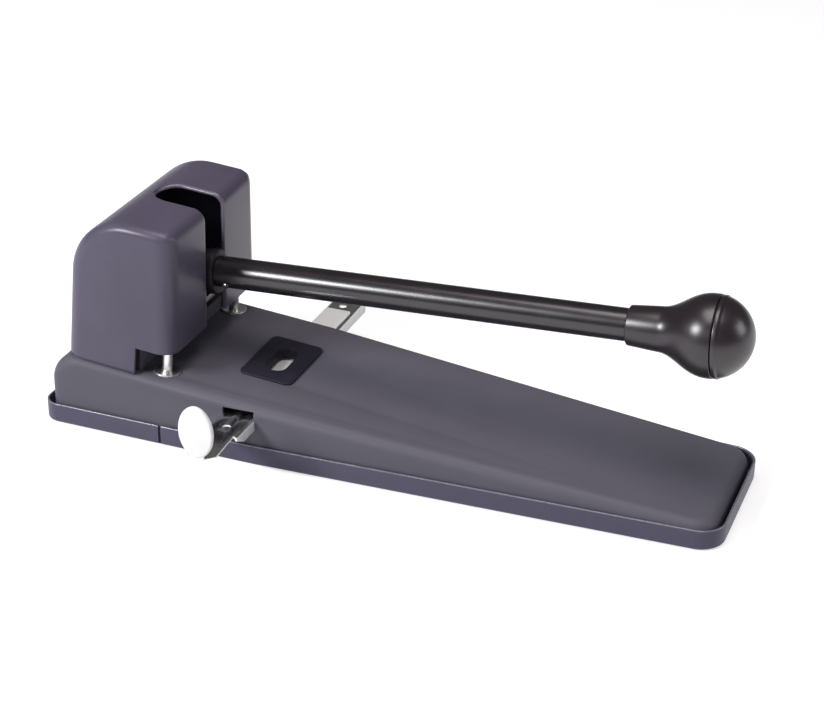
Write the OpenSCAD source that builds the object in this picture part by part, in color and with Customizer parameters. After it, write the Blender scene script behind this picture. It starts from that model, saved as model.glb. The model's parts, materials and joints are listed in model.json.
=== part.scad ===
// Lever-operated two-hole paper punch on a wedge-shaped base.
// X runs across the paper throat, Y towards the back, Z up.
// The origin lies on the table below the middle of the two dies.

/* [Punching] */
// Distance between the two hole centres
hole_pitch = 80; // [70:0.5:86]
// Diameter of a punch pin
pin_d = 5.5; // [4.5:0.1:6]
// Distance from the hole centres to the paper's back edge
paper_margin = 12; // [10.5:0.5:14]
// Height of the paper throat over the plate
throat_h = 15.8; // [12:0.2:18]
// How far the pins reach below the plate's top when the lever is down
tip_depth = 2.4; // [1:0.1:3]
// Diameter of the die's flange on the plate
die_flange_d = 14.2; // [12:0.1:16]
// Thickness of the die's flange
die_flange_t = 0.9; // [0.6:0.1:1.4]
// Diameter of the die's body in the plate
die_body_d = 10; // [8:0.1:11]
// Depth of the die's body below the plate's top
die_depth = 7.5; // [4:0.1:9]

/* [Base plate] */
// Slope of the plate and the head over the table, in degrees
tilt = 4.6; // [3.5:0.1:5]
// Height of the plate's top over the table at the pin line
plate_z = 37; // [35:0.1:40]
// Thickness of the sheet
plate_t = 2; // [1.4:0.1:2.5]
// Distance from the cover's side to the plate's side
plate_out = 0.05; // [0.05:0.05:2]
// Distance from the tray's side edge to the plate's side
plate_side_in = 1.6; // [1.6:0.1:4]
// Distance from the tray's front edge to the plate's front
plate_front_in = 3.6; // [3:0.1:5]
// Distance from the tray's back edge to the plate's back
plate_back_in = 5; // [3:0.1:6]
// Radius of the plate's front corners in plan
plate_front_r = 12; // [9:0.5:14]
// Radius of the bend along the plate's back top edge
plate_bend_r = 12; // [5:0.5:12.5]
// Radius of the plate's back corners in plan
plate_back_r = 10; // [6:0.5:12]

/* [Tray] */
// Width of the tray at the front edge
tray_w_front = 88; // [84:0.5:100]
// Distance from the pin line to the back edge
tray_back = 70; // [66:0.5:74]
// Distance from the pin line forward to where the taper starts
tray_kink = 56; // [40:1:80]
// Distance from the pin line forward to the front edge
tray_front = 300.5; // [290:0.5:330]
// Height of the tray's rim
rim_h = 11.2; // [9:0.1:13]
// Thickness of the rim
rim_t = 1.2; // [0.8:0.1:1.2]
// Thickness of the tray's floor
floor_t = 2; // [1.5:0.1:3]
// Radius of the tray's front corners in plan
tray_front_r = 13; // [9:0.5:16]
// Radius of the tray's back corners in plan
tray_back_r = 9.4; // [7:0.1:12]
// Distance from the pin line forward to the seam of the chip tray
seam_fwd = 1.6; // [0:0.1:10]
// Width of the seam
seam_gap = 0.8; // [0.4:0.1:1.5]
// Diameter of the bosses on the floor that take the screws
boss_d = 13; // [11:0.5:16]
// Height of those bosses
boss_h = 5; // [4:0.1:6]

/* [Chip tray] */
// Width of the chip box
chip_w = 90; // [88:1:94]
// Reach of the chip box ahead of the pin line
chip_fwd = 12; // [10:0.5:16]
// Height of the chip box over the table
chip_h = 22; // [14:0.5:24]
// Thickness of the chip box's walls and floor
chip_wall = 1.6; // [1.2:0.1:2]
// Clearance under and around the chip tray
chip_clear = 0.4; // [0.3:0.1:0.6]

/* [Head cover] */
// Room between the head frame's end and the cover's side at the plate
cover_room = 6.6; // [6.5:0.1:8]
// Inward slope of the cover's sides, in degrees
cover_draft = 1.9; // [0.5:0.1:2.2]
// Distance from the pin line forward to the cover's front at the throat
cover_front = 8.5; // [8.5:0.1:10]
// Backward slope of the cover's front, in degrees
cover_lean = 3.7; // [1:0.1:3.7]
// Distance from the pin line to the cover's back
cover_back = 54.2; // [50:0.1:56]
// Height of the cover over the plate
cover_top = 82.6; // [80:0.1:90]
// Wall thickness of the cover
cover_wall = 1.8; // [1.4:0.1:2]
// Radius along the cover's front top edge
cover_front_r = 7; // [5:0.5:10]
// Radius along the cover's back top edge
cover_back_r = 34; // [18:0.5:36]
// Radius along the cover's side top edges
cover_side_r = 5; // [3:0.5:8]
// Radius of the cover's upright corners
cover_corner_r = 10; // [7:0.5:11]
// Width of the lever's slot
slot_w = 21; // [20.6:0.1:23]
// Distance from the pin line back to the end of the slot
slot_end = 29; // [27:0.5:33]

/* [Head frame] */
// Metal of the frame beyond a pin guide
guide_edge = 2; // [1:0.1:2.2]
// Thickness of the pin guide bar
guide_t = 8; // [6:0.1:9]
// Depth of the frame's foot behind the back stop
foot_l = 14; // [12:0.5:16]
// Height of the frame's foot
foot_h = 13; // [9:0.5:14]
// Thickness of the frame's upright back wall
frame_wall = 6; // [5:0.1:8]
// Thickness of each of the two axle cheeks
cheek_t = 4; // [3:0.1:6]
// Diameter of the lever axle
axle_d = 8; // [7:0.1:9]
// Outer diameter of a pin guide
guide_d = 8; // [7.6:0.1:8.2]
// Thickness of the back stop
stop_t = 1.2; // [0.8:0.1:1.6]

/* [Drive] */
// Radius of the drive pin's path about the axle
crank_r = 17; // [16:0.1:17.5]
// Half of the lever's swing, in degrees
half_swing = 34; // [32:0.5:36]
// Diameter of the drive pin
drive_d = 5; // [4.5:0.1:5.5]
// Thickness of the lever's web
web_t = 8; // [6:0.1:9]
// Thickness of each ear on the pressure bar
ear_t = 5; // [4:0.1:5.2]
// Height of the pressure bar
bar_h = 14; // [13:0.1:15]
// Cut on the front corners of the bar and the guide bar below it
bar_cut = 5; // [4.5:0.1:5.5]
// Distance from the pin line forward to the bar's front
bar_front = 3.6; // [3.4:0.05:3.8]
// Distance from the pin line to the bar's back
bar_back = 9.5; // [9:0.1:10]
// Thickness of the bridge under the lever's web
bridge_t = 3.5; // [2.5:0.1:3.7]
// Distance from the pin line to the back of the bridge
bridge_back = 2.2; // [1:0.1:2.4]
// Diameter of a pin's shank in the bar
shank_d = 4.5; // [3.6:0.1:4.6]
// Diameter of a retaining ring on a pin
ring_d = 6.8; // [6:0.1:7]
// Thickness of a retaining ring
ring_t = 0.8; // [0.6:0.1:1]

/* [Lever] */
// Rise of the lever over the plate's slope when it is down, in degrees
lever_rise = 7.7; // [6.5:0.1:8.5]
// Diameter of the lever tube
tube_d = 16.7; // [15:0.1:17.6]
// Wall thickness of the tube
tube_t = 1.5; // [1:0.1:2.5]
// Length of the tube
tube_l = 243; // [230:1:280]
// Width of the lever's boss
boss_w = 19.6; // [19:0.1:19.8]
// Reach of the boss above the tube's axis
boss_up = 12; // [11:0.1:13]
// Reach of the boss below the tube's axis
boss_down = 13; // [11:0.1:13.5]
// Thickness of the boss
boss_t = 4.6; // [3:0.1:4.8]
// Distance from the cover's front to the boss's face
boss_out = 0.5; // [0.5:0.1:2]
// Height of the tube's axis over the axle at the boss's face
boss_rise = 0; // [0:0.1:2]
// Length of the spigot inside the tube
spigot_l = 45; // [30:1:60]
// Radius of the hub about the axle
hub_r = 8.2; // [7:0.1:8.3]
// Diameter of the screw that holds the tube
tube_screw_d = 4; // [3:0.1:5]
// Distance from the boss's face to that screw
tube_screw_u = 6; // [5:0.1:20]

/* [Knob] */
// Diameter of the knob's ball
ball_d = 42; // [38:0.1:46]
// Distance from the tube's end to the ball's centre
knob_past = 23; // [20:0.5:30]
// Diameter of the knob's collar at its end
collar_d = 20.4; // [19.6:0.1:22]
// Diameter of the neck where it starts to flare
neck_d = 22.8; // [22:0.1:25]
// Length of the collar and neck, from its end to the ball's centre
neck_l = 41.5; // [40:0.5:48]
// Length from the ball's centre to where the neck starts to flare
flare_l = 26; // [24:0.5:30]
// Distance of the knob's seam in front of the ball's widest part
cap_seam = 3.3; // [0:0.1:4]
// Width of the groove at that seam
cap_groove = 0.5; // [0.3:0.1:1]
// Diameter of the cap's spigot
cap_spigot_d = 16; // [12:0.5:20]
// Length of the cap's spigot
cap_spigot_l = 8; // [5:0.5:12]

/* [Paper guide] */
// Distance from the pin line forward to the rail's middle
rail_fwd = 46.8; // [45:0.1:52]
// Width of the rail
rail_w = 16.5; // [14:0.1:18]
// Thickness of the rail's sheet
rail_t = 1.2; // [0.8:0.1:1.5]
// Depth of the level rail's top below the plate's top, at the rail's middle
rail_drop = 7.5; // [6.5:0.1:8]
// Height of the rail's side flanges
flange_h = 5.8; // [5:0.1:7]
// Reach of the rail to the paddle's side
rail_near = 99.5; // [94:0.5:110]
// Reach of the rail to the other side
rail_far = 97; // [80:0.5:100]
// Length of the rail ahead of the flanges at the paddle's end
flange_back = 34.5; // [26:0.5:36]
// Length over which the flanges run out
flange_taper = 8; // [6:0.5:16]
// Diameter of the holes in the rail
rail_hole_d = 4.4; // [3:0.1:6]
// Distance from each end of the rail to its hole: paddle's end
rail_hole_near = 34; // [30:0.5:40]
// Distance from each end of the rail to its hole: other end
rail_hole_far = 11; // [4:0.1:14]
// Travel of the rail
rail_travel = 75; // [50:1:80]
// Running clearance of the rail
rail_clear = 0.5; // [0.3:0.1:0.7]
// Width of the paddle
paddle_w = 19; // [17:0.5:24]
// Height of the paddle
paddle_h = 28.5; // [26:0.5:34]
// Thickness of the paddle
paddle_t = 3; // [2.4:0.1:4]
// Radius of the paddle's ends
paddle_r = 7.4; // [6:0.1:8]
// Backward lean of the paddle, in degrees
paddle_lean = 1.4; // [0:0.1:6]
// Height of the paddle's lower end over the rail's top
paddle_lift = 1.4; // [0:0.1:3]
// Width of the rail's upturned end
tab_w = 8; // [5:0.1:9]
// Length over which the rail narrows to that end
tab_taper = 5; // [3:0.5:8]
// Height of the rail's upturned end over its top
tab_h = 12; // [8:0.1:14]
// Width of the scale strip
scale_w = 15; // [12:0.1:15.5]
// Thickness of the scale strip
scale_t = 1.8; // [1.2:0.1:2.2]
// How far the scale strip reaches to the paddle side of the middle
scale_near = 50; // [30:1:60]
// How far the scale strip reaches to the far side of the middle
scale_far = 80; // [40:1:83]
// Width of the keepers under the rail, along it
keeper_w = 8; // [5:0.5:12]
// Thickness of a keeper's sheet
keeper_t = 1.2; // [0.8:0.1:1.6]
// Distance of a keeper from the middle
keeper_x = 33; // [30:1:40]

/* [Window] */
// Distance from the pin line forward to the window's middle
window_fwd = 48; // [46:0.1:52]
// Length of the bezel, across the punch
bezel_l = 45.6; // [44:0.1:50]
// Width of the bezel
bezel_w = 30.2; // [29:0.1:34]
// Height of the bezel's flange over the plate
bezel_t = 1.1; // [0.8:0.1:1.6]
// Width of the bezel's flange round its opening in the plate
bezel_lip = 2.2; // [1.5:0.1:3]
// Radius of the bezel's corners
bezel_r = 4; // [3.2:0.1:6]
// Length of the viewing window
view_l = 24; // [18:0.1:28]
// Width of the viewing window
view_w = 10; // [8:0.1:12]
// How far the window's edge slopes out
view_flare = 0.8; // [0.4:0.1:1.5]

/* [Fasteners] */
// Shank diameter of the screws that hold the frame
frame_screw_d = 5; // [4:0.1:5.5]
// Distance between the two inner frame screws
frame_screw_in = 32; // [30:1:36]
// Distance between the two outer frame screws
frame_screw_out = 72; // [66:1:76]
// Shank diameter of the screws that hold the cover
cover_screw_d = 3.5; // [3:0.1:4]
// Shank diameter of the screws that hold the tray
tray_screw_d = 4; // [3:0.1:5]
// Half of the distance between the tray's posts
post_x = 34; // [30:0.5:36]
// Distance from the pin line forward to the back pair of posts
post_back = 80; // [75:1:110]
// Distance from the pin line forward to the front pair of posts
post_front = 272; // [255:1:275]
// Diameter of a post
post_d = 9; // [8:0.1:11]

/* [Clearances] */
// Radial clearance of fixed round fits
fixed_clear = 0.02; // [0.01:0.01:0.04]
// Radial clearance of running round fits
run_clear = 0.05; // [0.03:0.01:0.08]
// Clearance of the drive pin in its slot
drive_clear = 0.45; // [0.4:0.05:0.6]
// Clearance between the pieces of the head
head_clear = 0.4; // [0.3:0.05:0.45]

/* [Hidden] */
$fn = 96;
BIG = 1000;
// A sloping line ends this far inside the arc that it runs into
nip = 0.01;

// Head heights, measured square to the plate from its top
guide_z = throat_h + head_clear;
guide_top = guide_z + guide_t;
bar_z = guide_top + head_clear + 0.3;
drive_z = bar_z + bar_h - drive_d / 2 - 2;
bar_top = bar_z + bar_h;
pivot_z = drive_z + crank_r * sin(half_swing);
// The drive pin's foremost point keeps a wall's width inside the bar
drive_fore = -bar_front + drive_d / 2 + drive_clear + 2.1;
pivot_y = drive_fore + crank_r;
drive_y = pivot_y - crank_r * cos(half_swing);
lift = 2 * crank_r * sin(half_swing);
pin_r = pin_d / 2;
pin_x = hole_pitch / 2;
frame_hw = pin_x + guide_d / 2 + guide_edge;
cover_hw = frame_hw + cover_room;
stop_y = paper_margin;
frame_y = stop_y + stop_t;
guide_fwd = cover_front - cover_wall - 0.7;

// Lever root in the head's frame
root_y = -cover_front - boss_out;
root_z = pivot_z + boss_rise;
hub_hw = boss_w / 2 + 0.8;
cheek_in = hub_hw + head_clear;
cheek_out = cheek_in + cheek_t;
cheek_r = hub_r;
clip_t = 1;
axle_hw = cheek_out + clip_t + 1.6;
ear_in = web_t / 2 + 0.5;
ear_out = ear_in + ear_t;
eye_r = drive_d / 2 + 2.4;

// Tray and plate
back_hw = cover_hw + plate_out + plate_side_in;
front_hw = tray_w_front / 2;
seam_y = -seam_fwd;
chip_z = floor_t + chip_clear / 2;
rail_y = -rail_fwd;
rail_z = plate_z - rail_fwd * tan(tilt) - rail_drop;
// The plate's slots for the rail end this far below the sheet
slot_cover = 0.6;
slot_z = plate_z - (rail_fwd + rail_w / 2 + rail_clear) * tan(tilt) - (plate_t + slot_cover) / cos(tilt);
window_y = -window_fwd;
frame_screw_y = frame_y + foot_l / 2;

module head() {
  translate([0, 0, plate_z]) rotate([tilt, 0, 0]) children();
}

// The lever's own frame, with Z along the tube and Y upwards
module lever() {
  head() translate([0, root_y, root_z]) rotate([90 - lever_rise, 0, 0]) children();
}

// A shape drawn in Y and Z, spread along X
module across(len) {
  rotate([90, 0, 90]) linear_extrude(height = len, center = true) children();
}

// A cylinder along X
module xcyl(r, len) {
  rotate([0, 90, 0]) cylinder(r = r, h = len, center = true);
}

// Plan outline of the tray, drawn in by sx at the sides, f in front and b at the back
module plan(sx, f, b, rf, rb) {
  hb = back_hw - sx;
  hf = front_hw - sx;
  yb = tray_back - b;
  yf = -tray_front + f;
  s = (back_hw - front_hw) / (tray_front - tray_kink);
  q = sqrt(1 + s * s);
  cx = hf + (f + rf) * s - rf * q;
  rn = rf - nip;
  polygon([[-cx, yf], [cx, yf], [cx + rn / q, yf + rf - rn * s / q], [hb, -tray_kink],
    [hb, yb - rb], [hb - rb, yb], [rb - hb, yb], [-hb, yb - rb], [-hb, -tray_kink],
    [-cx - rn / q, yf + rf - rn * s / q]]);
  for (m = [-1, 1]) {
    translate([m * cx, yf + rf]) circle(r = rf);
    translate([m * (hb - rb), yb - rb]) circle(r = rb);
  }
}

// The tray's outline, drawn in by o all round
module tray_plan(o) {
  plan(o, o, o, tray_front_r - o, tray_back_r - o);
}

// The plate's outline, drawn in by o all round
module plate_plan(o) {
  plan(plate_side_in + o, plate_front_in + o, plate_back_in + o, plate_front_r - o, plate_back_r - o);
}

module rounded(l, w, r) {
  square([l - 2 * r, w], center = true);
  square([l, w - 2 * r], center = true);
  for (i = [-1, 1], j = [-1, 1])
    translate([i * (l / 2 - r), j * (w / 2 - r)]) circle(r = r);
}

// Everything below a height over the plate, in the plate's slope
module below(z) {
  head() translate([-BIG / 2, -BIG / 2, z - BIG]) cube([BIG, BIG, BIG]);
}

module ahead_of(y) {
  translate([-BIG / 2, y - BIG, -BIG / 2]) cube([BIG, BIG, BIG]);
}

module behind(y) {
  translate([-BIG / 2, y, -BIG / 2]) cube([BIG, BIG, BIG]);
}

module at_posts() {
  for (m = [-1, 1], y = [post_back, post_front])
    translate([m * post_x, -y, 0]) children();
}

module at_frame_screws() {
  for (x = [-frame_screw_out, -frame_screw_in, frame_screw_in, frame_screw_out])
    translate([x / 2, frame_screw_y, 0]) children();
}

cover_boss_r = cover_screw_d / 2 + 2.6;
cover_boss_in = cover_wall + cover_boss_r - 0.6;
module at_cover_screws() {
  for (m = [-1, 1])
    translate([m * (cover_hw - cover_boss_in - 0.4), cover_back - cover_boss_in, 0]) children();
}

tray_head_d = tray_screw_d * 2;
tray_head_t = tray_screw_d * 0.6;
post_hole_l = 4;
module base_tray() {
  color([0.16, 0.14, 0.19]) difference() {
    union() {
      difference() {
        intersection() {
          linear_extrude(height = rim_h) tray_plan(0);
          ahead_of(seam_y);
        }
        translate([0, 0, floor_t]) linear_extrude(height = rim_h) tray_plan(rim_t);
      }
      linear_extrude(height = floor_t) tray_plan(rim_t + chip_clear);
      at_posts() cylinder(d = boss_d, h = boss_h);
    }
    at_posts() {
      translate([0, 0, -1]) cylinder(d = tray_screw_d + 2 * fixed_clear, h = boss_h + 2);
      translate([0, 0, -1]) cylinder(d = tray_head_d + 0.6, h = 1.4 + tray_head_t);
    }
  }
}

chip_rear = tray_back - plate_back_in - plate_t - chip_clear;
module chip_tray() {
  color([0.16, 0.14, 0.19]) union() {
    difference() {
      intersection() {
        translate([0, 0, chip_clear]) linear_extrude(height = rim_h - chip_clear) tray_plan(0);
        behind(seam_y + seam_gap);
      }
      linear_extrude(height = rim_h + 1) tray_plan(rim_t);
    }
    translate([-chip_w / 2, -chip_fwd, chip_z]) cube([chip_w, tray_back - rim_t / 2 + chip_fwd, chip_wall]);
    difference() {
      translate([-chip_w / 2, -chip_fwd, chip_z]) cube([chip_w, chip_rear + chip_fwd, chip_h - chip_z]);
      translate([chip_wall - chip_w / 2, chip_wall - chip_fwd, chip_z + chip_wall])
        cube([chip_w - 2 * chip_wall, chip_rear + chip_fwd - 2 * chip_wall, chip_h]);
    }
  }
}

// Side view of the plate with its bent back, drawn in by o
module plate_side(o) {
  back = tray_back - plate_back_in - o;
  front = -tray_front;
  r = plate_bend_r - o;
  cy = back - r;
  top0 = plate_z - o / cos(tilt);
  rn = r - nip;
  // The inside keeps its slope exact, so nothing below it cuts into the sheet
  cz = top0 + cy * tan(tilt) - (o > 0 ? rn : r) / cos(tilt);
  across(BIG) {
    polygon([[front, -1], [back, -1], [back, cz], [cy, cz], [cy - rn * sin(tilt), cz + rn * cos(tilt)],
      [front, top0 + front * tan(tilt)]]);
    intersection() {
      translate([cy, cz]) circle(r = r);
      translate([cy - r, cz]) square([2 * r, r]);
    }
  }
}

module base_plate() {
  color([0.36, 0.35, 0.4]) difference() {
    intersection() {
      translate([0, 0, floor_t]) linear_extrude(height = 3 * plate_z) plate_plan(0);
      plate_side(0);
    }
    intersection() {
      linear_extrude(height = 3 * plate_z) plate_plan(plate_t);
      plate_side(plate_t);
    }
    translate([-chip_w / 2 - chip_clear, chip_rear - 1, 0])
      cube([chip_w + 2 * chip_clear, plate_back_in + plate_t + 4, chip_h + chip_clear]);
    head() {
      for (m = [-1, 1]) translate([m * pin_x, 0, -plate_t - 1])
        cylinder(d = die_body_d + 2 * fixed_clear, h = plate_t + 2);
      at_frame_screws() translate([0, 0, -plate_t - 1]) cylinder(d = frame_screw_d + 2 * fixed_clear, h = plate_t + 2);
      at_cover_screws() translate([0, 0, -plate_t - 1]) cylinder(d = cover_screw_d + 2 * fixed_clear, h = plate_t + 2);
      translate([0, window_y, -plate_t - 1]) linear_extrude(height = plate_t + 2)
        rounded(bezel_l - 2 * bezel_lip, bezel_w - 2 * bezel_lip, bezel_r - bezel_lip / 2);
    }
    translate([-BIG / 2, rail_y - rail_w / 2 - rail_clear, rail_z - flange_h - rail_clear])
      cube([BIG, rail_w + 2 * rail_clear, slot_z - rail_z + flange_h + rail_clear]);
  }
}

module plate_posts() {
  color([0.6, 0.6, 0.62]) difference() {
    intersection() {
      at_posts() translate([0, 0, boss_h]) cylinder(d = post_d, h = 2 * plate_z);
      below(-plate_t);
    }
    at_posts() translate([0, 0, boss_h - 1]) cylinder(d = tray_screw_d + 2 * fixed_clear, h = 1 + post_hole_l);
  }
}

module base_screws() {
  color([0.7, 0.7, 0.72]) at_posts() {
    translate([0, 0, 0.4]) cylinder(d = tray_head_d, h = tray_head_t);
    translate([0, 0, 0.4]) cylinder(d = tray_screw_d, h = boss_h + post_hole_l - 0.9);
  }
}

module die(m) {
  head() translate([m * pin_x, 0, 0]) difference() {
    union() {
      cylinder(d = die_flange_d, h = die_flange_t);
      translate([0, 0, -die_depth]) cylinder(d = die_body_d, h = die_depth + die_flange_t / 2);
    }
    translate([0, 0, -die_depth - 1]) cylinder(r = pin_r + run_clear, h = die_depth + 4);
    translate([0, 0, -die_depth - 1]) cylinder(r = pin_r + 0.6, h = die_depth - tip_depth - 0.8);
    translate([0, 0, die_flange_t / 3])
      cylinder(d1 = die_flange_d - 4.4, d2 = die_flange_d - 1.6, h = die_flange_t * 2 / 3 + 0.001);
  }
}

module die_left() { color([0.75, 0.75, 0.77]) die(-1); }
module die_right() { color([0.75, 0.75, 0.77]) die(1); }

// Plan of a bar with its front corners cut off
module bar_plan(hw, y0, y1) {
  polygon([[bar_cut - hw, y0], [hw - bar_cut, y0], [hw, y0 + bar_cut], [hw, y1], [-hw, y1], [-hw, y0 + bar_cut]]);
}

frame_thread_l = 9;
module head_frame() {
  color([0.55, 0.55, 0.57]) head() difference() {
    union() {
      translate([-frame_hw, frame_y, 0]) cube([2 * frame_hw, foot_l, foot_h]);
      translate([-frame_hw, frame_y, 0]) cube([2 * frame_hw, frame_wall, guide_top]);
      translate([0, 0, guide_z]) linear_extrude(height = guide_t) bar_plan(frame_hw, -guide_fwd, frame_y + 1);
      translate([-cheek_out, frame_y, guide_z]) cube([2 * cheek_out, pivot_y + cheek_r - frame_y, guide_t]);
      for (m = [-1, 1]) translate([m * (cheek_in + cheek_t / 2), 0, 0]) across(cheek_t) {
        translate([pivot_y - cheek_r, guide_top - 0.5]) square([2 * cheek_r, pivot_z - guide_top + 0.5]);
        translate([pivot_y, pivot_z]) circle(r = cheek_r);
      }
    }
    for (m = [-1, 1]) translate([m * pin_x, 0, guide_z - 1])
      cylinder(d = guide_d + 2 * fixed_clear, h = guide_t + 2);
    translate([0, pivot_y, pivot_z]) xcyl(axle_d / 2 + fixed_clear, 4 * cheek_out);
    at_frame_screws() translate([0, 0, -1]) cylinder(d = frame_screw_d + 2 * fixed_clear, h = frame_thread_l + 1);
  }
}

module screw_under(d, thread) {
  head_r = d * 0.85;
  head_h = d * 0.6;
  translate([0, 0, -plate_t - head_h]) cylinder(r = head_r, h = head_h);
  translate([0, 0, -plate_t - head_h]) cylinder(d = d, h = head_h + plate_t + thread - 0.5);
}

module frame_screws() {
  color([0.7, 0.7, 0.72]) head() at_frame_screws() screw_under(frame_screw_d, frame_thread_l);
}

module pin_guides() {
  color([0.72, 0.6, 0.35]) head() for (m = [-1, 1]) translate([m * pin_x, 0, guide_z]) difference() {
    cylinder(d = guide_d, h = guide_t);
    translate([0, 0, -1]) cylinder(r = pin_r + run_clear, h = guide_t + 2);
  }
}

module back_stop() {
  color([0.2, 0.18, 0.22]) head() translate([-frame_hw, stop_y, 0]) cube([2 * frame_hw, stop_t, throat_h]);
}

groove_r = axle_d / 2 - 0.8;
module lever_axle() {
  color([0.7, 0.7, 0.72]) head() translate([0, pivot_y, pivot_z]) difference() {
    xcyl(axle_d / 2, 2 * axle_hw);
    for (m = [-1, 1]) translate([m * (cheek_out + clip_t / 2), 0, 0]) difference() {
      xcyl(axle_d, clip_t);
      xcyl(groove_r, clip_t + 2);
    }
  }
}

module axle_clips() {
  color([0.5, 0.5, 0.52]) head() for (m = [-1, 1])
    translate([m * (cheek_out + clip_t / 2), pivot_y, pivot_z]) difference() {
      xcyl(axle_d / 2 + 2, clip_t);
      xcyl(groove_r + fixed_clear, clip_t + 2);
    }
}

// Outer block of the cover, drawn in by o on every face
module cover_block(o) {
  hw = cover_hw - o;
  top = cover_top - o;
  back = cover_back - o;
  rf = cover_front_r - o;
  rb = cover_back_r - o;
  rs = max(cover_side_r - o, 0.5);
  rc = cover_corner_r - o;
  tl = tan(cover_lean);
  q = sqrt(1 + tl * tl);
  front0 = -cover_front - throat_h * tl + o;
  cz = top - rf;
  cy = front0 + cz * tl + rf * q;
  td = tan(cover_draft);
  p = sqrt(1 + td * td);
  sz = top - rs;
  sx = hw - sz * td - rs * p;
  intersection() {
    across(4 * hw) {
      polygon([[front0, 0], [back, 0], [back, top - rb], [back - rb, top], [cy, top],
        [cy - (rf - nip) / q, cz + (rf - nip) * tl / q]]);
      translate([back - rb, top - rb]) circle(r = rb);
      translate([cy, cz]) circle(r = rf);
    }
    rotate([90, 0, 0]) linear_extrude(height = BIG, center = true) {
      polygon([[-hw, 0], [hw, 0], [sx + (rs - nip) / p, sz + (rs - nip) * td / p], [sx, top], [-sx, top],
        [-sx - (rs - nip) / p, sz + (rs - nip) * td / p]]);
      for (m = [-1, 1]) translate([m * sx, sz]) circle(r = rs);
    }
    for_corners(hw - rc, front0 + rc, back - rc, rc);
  }
}

// Outside of a rounded corner about the origin, open towards -X and -Y
module corner(r) {
  circle(r = r);
  translate([-BIG, -BIG]) square([BIG, BIG + r]);
  translate([-BIG, -BIG]) square([BIG + r, BIG]);
}

// Four rounded upright corners that follow the slopes of the cover's faces
corner_out = 0.15;
module for_corners(x, y0, y1, r) {
  intersection() {
    upright(1, x, y1 + corner_out, 0, 0) corner(r);
    upright(-1, x, y1 + corner_out, 0, 90) corner(r);
    upright(-1, x, y0 - corner_out, cover_lean, 180) corner(r);
    upright(1, x, y0 - corner_out, cover_lean, 270) corner(r);
  }
}

module upright(m, x, y, lean, turn) {
  translate([m * (x + corner_out), y, 0]) rotate([-lean, -m * cover_draft, 0]) translate([0, 0, -BIG / 4])
    linear_extrude(height = BIG / 2) rotate(turn) children();
}

cover_thread_l = 12;
module head_cover() {
  color([0.2, 0.18, 0.22]) head() difference() {
    union() {
      difference() {
        cover_block(0);
        translate([0, 0, -0.01]) cover_block(cover_wall);
        translate([-BIG / 2, -BIG / 2, -BIG + throat_h]) cube([BIG, BIG / 2 + stop_y + 1, BIG]);
        translate([-slot_w / 2, -BIG / 2, -1]) cube([slot_w, BIG / 2 + slot_end - slot_w / 2, BIG]);
        translate([0, slot_end - slot_w / 2, -1]) cylinder(d = slot_w, h = BIG);
      }
      intersection() {
        at_cover_screws() cylinder(r = cover_boss_r, h = cover_thread_l + 4);
        cover_block(cover_wall / 2);
      }
    }
    at_cover_screws() translate([0, 0, -1]) cylinder(d = cover_screw_d + 2 * fixed_clear, h = cover_thread_l + 1);
  }
}

module cover_screws() {
  color([0.7, 0.7, 0.72]) head() at_cover_screws() screw_under(cover_screw_d, cover_thread_l);
}

window_clear = 0.5;
bezel_low = (rail_drop - scale_w / 2 * tan(tilt) - scale_t - window_clear) * cos(tilt);
module window_bezel() {
  color([0.1, 0.09, 0.12]) head() translate([0, window_y, 0]) difference() {
    union() {
      linear_extrude(height = bezel_t) rounded(bezel_l, bezel_w, bezel_r);
      translate([0, 0, -bezel_low]) linear_extrude(height = bezel_low + bezel_t / 2)
        rounded(bezel_l - 2 * bezel_lip - 2 * fixed_clear, bezel_w - 2 * bezel_lip - 2 * fixed_clear,
          bezel_r - bezel_lip / 2);
    }
    view_cut();
  }
}

// Oblong window with sloping edges, wider at the top
module view_cut() {
  r0 = view_w / 2;
  r1 = r0 + view_flare;
  h = bezel_low + bezel_t;
  c = (view_l - view_w) / 2;
  translate([0, 0, -bezel_low]) {
    for (m = [-1, 1]) translate([m * c, 0, 0]) cylinder(r1 = r0, r2 = r1, h = h);
    across(2 * c) polygon([[-r0, 0], [r0, 0], [r1, h], [-r1, h]]);
    for (z = [-1, h - 0.01]) translate([0, 0, z]) {
      rr = z < 0 ? r0 : r1;
      for (m = [-1, 1]) translate([m * c, 0, 0]) cylinder(r = rr, h = 1.01);
      translate([-c, -rr, 0]) cube([2 * c, 2 * rr, 1.01]);
    }
  }
}

keeper_gap = rail_clear;
// The plate's slope in the side view, with its height measured square to the sheet
module in_slope() {
  translate([0, plate_z]) rotate(tilt) children();
}

keeper_foot = 6;
module rail_keepers() {
  ki = rail_w / 2 + keeper_gap;
  kz = rail_z - flange_h - keeper_gap;
  color([0.6, 0.6, 0.62]) for (m = [-1, 1]) translate([m * keeper_x, 0, 0]) across(keeper_w)
    difference() {
      intersection() {
        union() {
          translate([rail_y - ki - keeper_t, kz - keeper_t]) square([2 * (ki + keeper_t), plate_z]);
          in_slope() translate([rail_y - ki - keeper_foot, -plate_t - keeper_t])
            square([2 * (ki + keeper_foot), keeper_t]);
        }
        in_slope() translate([-BIG / 2, -plate_t - BIG]) square(BIG);
      }
      translate([rail_y - ki, kz]) square([2 * ki, plate_z]);
    }
}

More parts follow.
